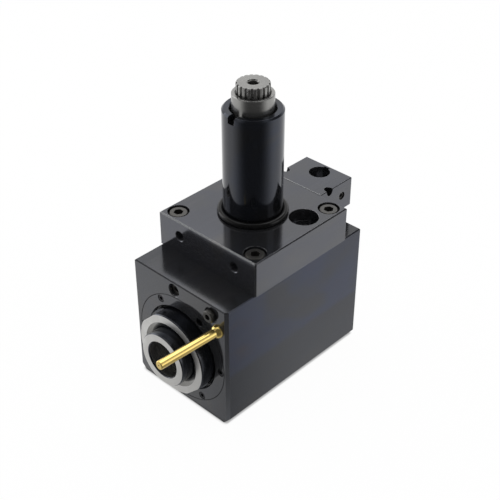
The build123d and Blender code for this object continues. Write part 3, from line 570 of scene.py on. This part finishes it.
def surface(tree, values, film_node, edges):
    """Colour, roughness and relief of one look inside a material."""
    grain = use_group(tree, values["lay"], values["lay_values"])
    plain, cool, warm = values["colours"]
    patch = film_node.outputs["Patch"]
    cooled = mix_colour(tree, fade(tree, patch, cool_start, cool_end, 0, 1), plain, cool)
    tinted = mix_colour(tree, fade(tree, patch, warm_start, warm_end, 0, 1), cooled, warm)
    streak = maths(tree, "MULTIPLY", grain.outputs["Streak"], streak_wear)
    streaked = mix_colour(tree, streak, tinted, values["worn"])
    rubbed = maths(tree, "MULTIPLY", edges.outputs["Mask"], film_node.outputs["Speckle"])
    bare_share = maths(tree, "MULTIPLY", rubbed, values["wear"] * wear_gain, clamp=True)
    colour = mix_colour(tree, bare_share, streaked, values["worn"])
    low = values["roughness"] - values["spread"] / 2
    rough = maths(tree, "MULTIPLY_ADD", grain.outputs["Streak"], values["spread"], low)
    return colour, rough, grain.outputs["Height"]


def metal(name, first, others=(), film_values=None, edge_width=0.25 * mm):
    """A metal with one look, and others laid over it where their masks say."""
    material = bpy.data.materials.new(name)
    material.use_nodes = True
    tree = material.node_tree
    shader = tree.nodes["Principled BSDF"]
    share = looks[first]["metal_share"]
    film_node = use_group(tree, oil_film, film_values or {})
    edges = use_group(tree, edge_wear, {"Width": edge_width})
    colour, rough, height = surface(tree, looks[first], film_node, edges)
    for other, mask in others:
        where = mask(tree)
        other_colour, other_rough, other_height = surface(tree, looks[other], film_node, edges)
        colour = mix_colour(tree, where, colour, other_colour)
        rough = mix_number(tree, where, rough, other_rough)
        height = mix_number(tree, where, height, other_height)
        share = mix_number(tree, where, share, looks[other]["metal_share"])
    feed(tree, shader.inputs["Metallic"], share)
    tree.links.new(colour, shader.inputs["Base Color"])
    tree.links.new(rough, shader.inputs["Roughness"])
    relief = add(tree, "ShaderNodeBump")
    relief.inputs["Strength"].default_value = relief_strength
    relief.inputs["Distance"].default_value = relief_distance
    tree.links.new(height, relief.inputs["Height"])
    tree.links.new(edges.outputs["Normal"], relief.inputs["Normal"])
    tree.links.new(relief.outputs[0], shader.inputs["Normal"])
    return material


# %% [markdown]
# A mask is 1 where a look belongs and 0 elsewhere. Each reads only the part's own coordinates and normals,
# so it stays on the part in every view. Some mark real changes of finish: the turned shank, the ground
# faces and bore of the spindle. The others paint light and shade into the colour: a painted highlight on
# the front top bevels, painted shade in the seam around the cover, and painted tones on the side walls,
# their lower half, the ledges and the upright corners, which bring the tone closer to the picture where the
# light alone didn't. Under other light those may need new values.

# %% Masks
shank_reach = 20.5 * mm
shank_foot = -1 * mm
ground_front = 76.5 * mm
highlight_depth = 1.0 * mm
cover_radius = 40.0 * mm
cover_front = 68.5 * mm
mouth_radius = 17.2 * mm
mouth_end = 38 * mm
mouth_lip = 85.4 * mm
shade_line = -76 * mm
shade_soft = 5 * mm
face_start, face_end = 0.92, 0.97
cone_start, cone_end = 0.78, 0.84
side_start, side_end = 0.5, 0.8
level_start, level_end = 0.9, 0.98
bevel_start, bevel_end = 0.3, 0.42
seam_core, seam_edge = 0.2 * mm, 0.45 * mm


def on_the_shank(tree):
    """1 on the shank, which is what stands above the plate within its radius."""
    place = add(tree, "ShaderNodeTexCoord").outputs["Object"]
    across = vector_maths(tree, "LENGTH", vector_maths(tree, "MULTIPLY", place, (1, 1, 0)))
    height = vector_maths(tree, "DOT_PRODUCT", place, (0, 0, 1))
    within = maths(tree, "LESS_THAN", across, shank_reach)
    return maths(tree, "MULTIPLY", within, maths(tree, "GREATER_THAN", height, shank_foot))


def facing_front(tree):
    """1 on the faces at the spindle's front end that look along it."""
    coordinates = add(tree, "ShaderNodeTexCoord")
    looking = vector_maths(tree, "DOT_PRODUCT", coordinates.outputs["Normal"], (0, -1, 0))
    facing = fade(tree, looking, face_start, face_end, 0, 1)
    forward = vector_maths(tree, "DOT_PRODUCT", coordinates.outputs["Object"], (0, -1, 0))
    return maths(tree, "MULTIPLY", facing, maths(tree, "GREATER_THAN", forward, ground_front))


def inside_the_mouth(tree):
    """1 on the collet's taper and the nut's bore, which are ground bright up to the blackened lip."""
    place = add(tree, "ShaderNodeTexCoord").outputs["Object"]
    from_axis = vector_maths(tree, "SUBTRACT", place, (0, 0, spindle_axis_z))
    across = vector_maths(tree, "LENGTH", vector_maths(tree, "MULTIPLY", from_axis, (1, 0, 1)))
    forward = vector_maths(tree, "DOT_PRODUCT", place, (0, -1, 0))
    behind_the_lip = maths(tree, "LESS_THAN", forward, mouth_lip)
    along = maths(tree, "MULTIPLY", behind_the_lip, maths(tree, "GREATER_THAN", forward, mouth_end))
    return maths(tree, "MULTIPLY", maths(tree, "LESS_THAN", across, mouth_radius), along)


def in_the_recess(tree):
    """1 on the shallow cone between the nose's face and the nut."""
    coordinates = add(tree, "ShaderNodeTexCoord")
    facing = vector_maths(tree, "DOT_PRODUCT", coordinates.outputs["Normal"], (0, -1, 0))
    forward = vector_maths(tree, "DOT_PRODUCT", coordinates.outputs["Object"], (0, -1, 0))
    off_axis = fade(tree, facing, face_start, face_end, 1, 0)
    sloping = maths(tree, "MULTIPLY", fade(tree, facing, cone_start, cone_end, 0, 1), off_axis)
    return maths(tree, "MULTIPLY", sloping, maths(tree, "GREATER_THAN", forward, ground_front))


def facing_sideways(tree):
    """1 on the left and the right wall, which take a darker tone as painted shade."""
    normal = add(tree, "ShaderNodeTexCoord").outputs["Normal"]
    sideways = maths(tree, "ABSOLUTE", vector_maths(tree, "DOT_PRODUCT", normal, (1, 0, 0)))
    return fade(tree, sideways, side_start, side_end, 0, 1)


def low_on_the_sides(tree):
    """1 on the lower half of the side walls, darker and plainer as painted shade; chosen to match the
    picture.
    """
    height = vector_maths(tree, "DOT_PRODUCT", add(tree, "ShaderNodeTexCoord").outputs["Object"], (0, 0, 1))
    sideways = facing_sideways(tree)
    low = fade(tree, height, shade_line - shade_soft, shade_line, 1, 0)
    return maths(tree, "MULTIPLY", sideways, low)


def facing_up(tree):
    """1 on level faces, which get a darker tone as painted shade."""
    normal = add(tree, "ShaderNodeTexCoord").outputs["Normal"]
    return fade(tree, vector_maths(tree, "DOT_PRODUCT", normal, (0, 0, 1)), level_start, level_end, 0, 1)


def on_front_bevels(tree):
    """1 on the bevels along the top of the front walls, which get a lighter colour as a painted highlight."""
    coordinates = add(tree, "ShaderNodeTexCoord")
    level = vector_maths(tree, "DOT_PRODUCT", coordinates.outputs["Normal"], (0, 0, 1))
    forward = vector_maths(tree, "DOT_PRODUCT", coordinates.outputs["Normal"], (0, -1, 0))
    both = fade(tree, maths(tree, "MULTIPLY", level, forward), bevel_start, bevel_end, 0, 1)
    height = vector_maths(tree, "DOT_PRODUCT", coordinates.outputs["Object"], (0, 0, 1))
    return maths(tree, "MULTIPLY", both, maths(tree, "GREATER_THAN", height, -highlight_depth))


def at_the_seam(tree):
    """1 on a thin ring where the cover meets the housing's front face, darkened there as painted shade."""
    place = add(tree, "ShaderNodeTexCoord").outputs["Object"]
    from_axis = vector_maths(tree, "SUBTRACT", place, (0, 0, spindle_axis_z))
    across = vector_maths(tree, "LENGTH", vector_maths(tree, "MULTIPLY", from_axis, (1, 0, 1)))
    off = maths(tree, "ABSOLUTE", maths(tree, "SUBTRACT", across, cover_radius))
    forward = vector_maths(tree, "DOT_PRODUCT", place, (0, -1, 0))
    return maths(tree, "MULTIPLY", fade(tree, off, seam_core, seam_edge, 1, 0),
                 maths(tree, "GREATER_THAN", forward, cover_front))


def on_upright_bevels(tree):
    """1 on the bevels of a block's upright corners, which get a lighter grey as painted light."""
    normal = add(tree, "ShaderNodeTexCoord").outputs["Normal"]
    sideways = vector_maths(tree, "DOT_PRODUCT", normal, (1, 0, 0))
    forward = vector_maths(tree, "DOT_PRODUCT", normal, (0, 1, 0))
    both = maths(tree, "ABSOLUTE", maths(tree, "MULTIPLY", sideways, forward))
    return fade(tree, both, bevel_start, bevel_end, 0, 1)


# %% Finishes
# Painted highlight on the front top bevels.
highlight_bevels = ("bevel with painted highlight", on_front_bevels)
# Painted light on the upright corner bevels.
painted_corner_light = ("corner bevel with painted light", on_upright_bevels)
shank_part = ("turned shank", on_the_shank)
# Painted shade on the side walls.
walls = ("side wall with painted shade", facing_sideways)
# Painted shade, darker still, on the lower half of the side walls.
shaded_lower_walls = ("lower wall with painted shade", low_on_the_sides)
# Painted shade on the housing's level faces.
shaded_ledges = ("ledge with painted shade", facing_up)
# Painted shade in the seam around the cover.
seam = ("steel with painted shade", at_the_seam)
nose_faces = (
    ("ground taper", inside_the_mouth),
    ("ground face", facing_front),
    ("polished recess", in_the_recess),
)
finishes = {
    "housing": metal("blackened housing", "ground block", (walls, shaded_lower_walls, painted_corner_light, shaded_ledges, seam),
                     {"Scale": 26.0, "Along Y": 0.4}),
    "flange": metal("blackened flange and shank", "ground plate", (highlight_bevels, shank_part), {"Scale": 22.0}),
    "plate": metal("blackened plate", "ground plate", (highlight_bevels,)),
    "spindle": metal("blackened spindle with ground face", "turned barrel", nose_faces),
    "shaft": metal("bright shaft", "bright shaft"),
    "screw": metal("black screw", "screw steel", edge_width=0.15 * mm),
    # The small cover screws are darkened as painted shade.
    "small screw": metal("black screw with painted shade", "steel with painted shade", edge_width=0.1 * mm),
    "brass": metal("turned brass", "turned brass", film_values={"Scale": 60.0}),
}
print("metals:", len(finishes))

# %% [markdown]
# The rubber ring at the shank's root is oiled, so it is made as a smooth dark plastic, which mirrors only a
# little. The cages of the bearings, hidden inside, are a brown pressed plastic. Both take the oil film's
# patches and speckle, so that no surface is quite even.


# %% Rubber and cage plastic
patch_roughness = 0.1


def plastic(name, dark, light, roughness, scale, gloss=0.5):
    material = bpy.data.materials.new(name)
    material.use_nodes = True
    tree = material.node_tree
    shader = tree.nodes["Principled BSDF"]
    film_node = use_group(tree, oil_film, {"Scale": scale, "Along Y": 1.0})
    tree.links.new(mix_colour(tree, film_node.outputs["Patch"], dark, light), shader.inputs["Base Color"])
    rough = maths(tree, "MULTIPLY_ADD", film_node.outputs["Patch"], patch_roughness, roughness)
    tree.links.new(rough, shader.inputs["Roughness"])
    shader.inputs["Specular IOR Level"].default_value = gloss
    relief = add(tree, "ShaderNodeBump")
    relief.inputs["Strength"].default_value = relief_strength
    relief.inputs["Distance"].default_value = relief_distance
    tree.links.new(film_node.outputs["Speckle"], relief.inputs["Height"])
    tree.links.new(relief.outputs[0], shader.inputs["Normal"])
    return material


rubber_black = ((0.004, 0.004, 0.004), (0.008, 0.008, 0.008))
cage_brown = ((0.42, 0.30, 0.16), (0.50, 0.37, 0.21))
finishes["rubber"] = plastic("black rubber", *rubber_black, roughness=0.03, scale=200.0, gloss=0.22)
finishes["cage"] = plastic("cage plastic", *cage_brown, roughness=0.45, scale=90.0)

# %% Give every CAD node its finish
finish_of_slot = {
    "housing_steel": "housing",
    "flange_steel": "plate",
    "ground_steel": "shaft",
    "nut_steel": "spindle",
    "black_screw": "screw",
    "inner_steel": "shaft",
    "bearing_steel": "shaft",
    "cage_plastic": "cage",
    "black_rubber": "rubber",
    "nozzle_brass": "brass",
}
finish_of_node = {"flange_block": "flange", "spindle": "spindle", "front_cover_screws": "small screw"}
slot_of_node = {entry["node"]: entry["material_slot"] for entry in frame["record"]["subparts"]}
for name, node in nodes.items():
    finish = finish_of_node.get(name, finish_of_slot[slot_of_node[name]])
    for place in node.material_slots:
        place.material = finishes[finish]
print("finishes:", len(finishes))

# %% [markdown]
# A threaded hole that stands open shows its thread turns. On the real part a tap cuts them into the wall.
# Here each is a helix with a three-sided profile, just proud of the hole's wall, which Geometry Nodes
# follow with Curve to Mesh. The tree takes a mesh of points, one for each hole's mouth, and puts a coil
# below every point, so two equal holes share one piece. Holes in a wall are made the same way and then
# turned with the whole mesh. A Boolean could cut real grooves, but the walls are CAD pieces, which stay as
# they are, and from outside a coil looks nearly the same.

# %% Thread turns
coil_steps = 40
profile_sides = 3


def thread_tree(material):
    numbers = {"Radius": 3.5 * mm, "Pitch": 1.25 * mm, "Turns": 6.0, "Depth": 0.3 * mm}
    tree, given, out = new_tree("thread turns", numbers)
    coil = add(tree, "GeometryNodeCurveSpiral")
    coil.inputs["Resolution"].default_value = coil_steps
    tree.links.new(given.outputs["Turns"], coil.inputs["Rotations"])
    tree.links.new(given.outputs["Radius"], coil.inputs["Start Radius"])
    tree.links.new(given.outputs["Radius"], coil.inputs["End Radius"])
    height = add(tree, "ShaderNodeMath", operation="MULTIPLY")
    tree.links.new(given.outputs["Turns"], height.inputs[0])
    tree.links.new(given.outputs["Pitch"], height.inputs[1])
    tree.links.new(height.outputs[0], coil.inputs["Height"])
    drop = add(tree, "ShaderNodeCombineXYZ")
    down = add(tree, "ShaderNodeMath", operation="MULTIPLY")
    down.inputs[1].default_value = -1
    tree.links.new(height.outputs[0], down.inputs[0])
    tree.links.new(down.outputs[0], drop.inputs["Z"])
    lowered = add(tree, "GeometryNodeTransform")
    tree.links.new(coil.outputs[0], lowered.inputs["Geometry"])
    tree.links.new(drop.outputs[0], lowered.inputs["Translation"])
    level = add(tree, "GeometryNodeSetCurveNormal", mode="Z_UP")
    tree.links.new(lowered.outputs[0], level.inputs[0])
    profile = add(tree, "GeometryNodeCurvePrimitiveCircle")
    profile.inputs["Resolution"].default_value = profile_sides
    tree.links.new(given.outputs["Depth"], profile.inputs["Radius"])
    sweep = add(tree, "GeometryNodeCurveToMesh")
    sweep.inputs["Fill Caps"].default_value = True
    tree.links.new(level.outputs[0], sweep.inputs["Curve"])
    tree.links.new(profile.outputs[0], sweep.inputs["Profile Curve"])
    finish_instances(tree, given, out, sweep.outputs[0], material)
    return tree


def finish_instances(tree, given, out, shape, material):
    """Puts the shape on every given point, makes it real and gives it its material."""
    spread = add(tree, "GeometryNodeInstanceOnPoints")
    tree.links.new(given.outputs["Geometry"], spread.inputs["Points"])
    tree.links.new(shape, spread.inputs["Instance"])
    real = add(tree, "GeometryNodeRealizeInstances")
    tree.links.new(spread.outputs[0], real.inputs[0])
    dressed = add(tree, "GeometryNodeSetMaterial")
    dressed.inputs["Material"].default_value = material
    tree.links.new(real.outputs[0], dressed.inputs[0])
    tree.links.new(dressed.outputs[0], out.inputs[0])


def baked(name, tree, values, points, turn, body):
    """Runs a tree on a few points, keeps the result as a plain mesh, turns it into place and lets it ride."""
    seed = bpy.data.meshes.new(name)
    seed.from_pydata(points, [], [])
    carrier = bpy.data.objects.new(name + " points", seed)
    bpy.context.scene.collection.objects.link(carrier)
    modifier = carrier.modifiers.new(tree.name, "NODES")
    modifier.node_group = tree
    for item in tree.interface.items_tree:
        if item.in_out == "INPUT" and item.name in values:
            modifier[item.identifier] = values[item.name]
    bpy.context.view_layer.update()
    mesh = bpy.data.meshes.new_from_object(carrier.evaluated_get(bpy.context.evaluated_depsgraph_get()))
    bpy.data.objects.remove(carrier)
    mesh.transform(turn)
    mesh.name = name
    piece = bpy.data.objects.new(name, mesh)
    bpy.context.scene.collection.objects.link(piece)
    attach(piece, body)
    return piece


coils = thread_tree(finishes["plate"])
print(coils.name, "takes", [item.name for item in coils.interface.items_tree])

# %% Threads of the open holes
flange_front_y = -44 * mm
wall_hole_x = 25 * mm
wall_hole_z = -11.3 * mm
wall_hole_lead = 0.6 * mm
turret_hole_x = 30 * mm
turret_hole_y = 17 * mm
turret_hole_top = -9.5 * mm
housing_front_y = -69 * mm
plug_x = -5 * mm
plug_z = -31.8 * mm
plug_lead = 0.7 * mm
to_the_front = Matrix.Rotation(radians(90), 4, "X")
flange_front = Matrix.Translation((0, flange_front_y, wall_hole_z)) @ to_the_front
pocket_floor = Matrix.Translation((0, turret_hole_y, turret_hole_top))
plug_mouth = Matrix.Translation((plug_x, housing_front_y, plug_z)) @ to_the_front
wall_holes = [(side * wall_hole_x, 0, -wall_hole_lead) for side in (-1, 1)]
turret_holes = [(side * turret_hole_x, 0, 0) for side in (-1, 1)]
wall_thread = {"Radius": 3.62 * mm, "Pitch": 1.25 * mm, "Turns": 9.0, "Depth": 0.34 * mm}
turret_thread = {"Radius": 5.2 * mm, "Pitch": 1.75 * mm, "Turns": 5.0, "Depth": 0.45 * mm}
plug_thread = {"Radius": 4.6 * mm, "Pitch": 1.0 * mm, "Turns": 1.6, "Depth": 0.3 * mm}
threads = {
    "front_wall_threads": (flange_front, wall_holes, wall_thread),
    "turret_screw_threads": (pocket_floor, turret_holes, turret_thread),
    "plug_threads": (plug_mouth, [(0, 0, -plug_lead)], plug_thread),
}
for name, (turn, points, values) in threads.items():
    piece = baked(name, coils, values, points, turn, "casing")
    print(name, len(piece.data.polygons), "faces")

# %% [markdown]
# Socket cap screws have knurled heads. The ridges are so fine that they only roughen the head's outline and
# break up its highlight, but they tell a screw from a plain pin. One ridge is a small box turned on its
# edge, and Geometry Nodes put it around the head's barrel. A bump pattern would be lighter, but it leaves
# the outline smooth.


# %% Knurl tree
def knurl_tree(material):
    numbers = {"Radius": 6.5 * mm, "Length": 6 * mm, "Ridge": 0.3 * mm, "Count": 60}
    tree, given, out = new_tree("knurled head", numbers)
    rim = add(tree, "GeometryNodeMeshCircle")
    tree.links.new(given.outputs["Count"], rim.inputs["Vertices"])
    tree.links.new(given.outputs["Radius"], rim.inputs["Radius"])
    size = add(tree, "ShaderNodeCombineXYZ")
    for axis, source in zip("XYZ", ("Ridge", "Ridge", "Length")):
        tree.links.new(given.outputs[source], size.inputs[axis])
    ridge = add(tree, "GeometryNodeMeshCube")
    tree.links.new(size.outputs[0], ridge.inputs["Size"])
    edge_on = add(tree, "GeometryNodeTransform")
    edge_on.inputs["Rotation"].default_value = (0, 0, radians(45))
    tree.links.new(ridge.outputs[0], edge_on.inputs["Geometry"])
    outwards = add(tree, "FunctionNodeAlignRotationToVector", axis="X")
    tree.links.new(add(tree, "GeometryNodeInputPosition").outputs[0], outwards.inputs["Vector"])
    around = add(tree, "GeometryNodeInstanceOnPoints")
    tree.links.new(rim.outputs[0], around.inputs["Points"])
    tree.links.new(edge_on.outputs[0], around.inputs["Instance"])
    tree.links.new(outwards.outputs[0], around.inputs["Rotation"])
    finish_instances(tree, given, out, around.outputs[0], material)
    return tree


knurls = knurl_tree(finishes["screw"])

# %% Knurled heads
corner_x = 35 * mm
corner_ys = (-35 * mm, 36.5 * mm)
head_middle = -4.6 * mm
lock_x = 29 * mm
lock_seat_y = -67.2 * mm
lock_z = -33.3 * mm
lock_middle = 2.5 * mm
corners = [(side * corner_x, y, head_middle) for side in (-1, 1) for y in corner_ys]
lock_place = Matrix.Translation((lock_x, lock_seat_y, lock_z)) @ to_the_front
flange_head = {"Radius": 6.5 * mm, "Length": 6 * mm, "Count": 64}
lock_head = {"Radius": 4.25 * mm, "Length": 3.6 * mm, "Count": 44}
heads = {
    "flange_screw_knurls": (Matrix.Identity(4), corners, flange_head, "casing"),
    "lock_screw_knurls": (lock_place, [(0, 0, lock_middle)], lock_head, "nozzle_lock"),
}
for name, (turn, points, values, body) in heads.items():
    piece = baked(name, knurls, values, points, turn, body)
    print(name, len(piece.data.polygons), "faces")

# %% Sizes for the record, and the end
size = {"cad": cad_box, "visual": [list(corner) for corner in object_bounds()]}
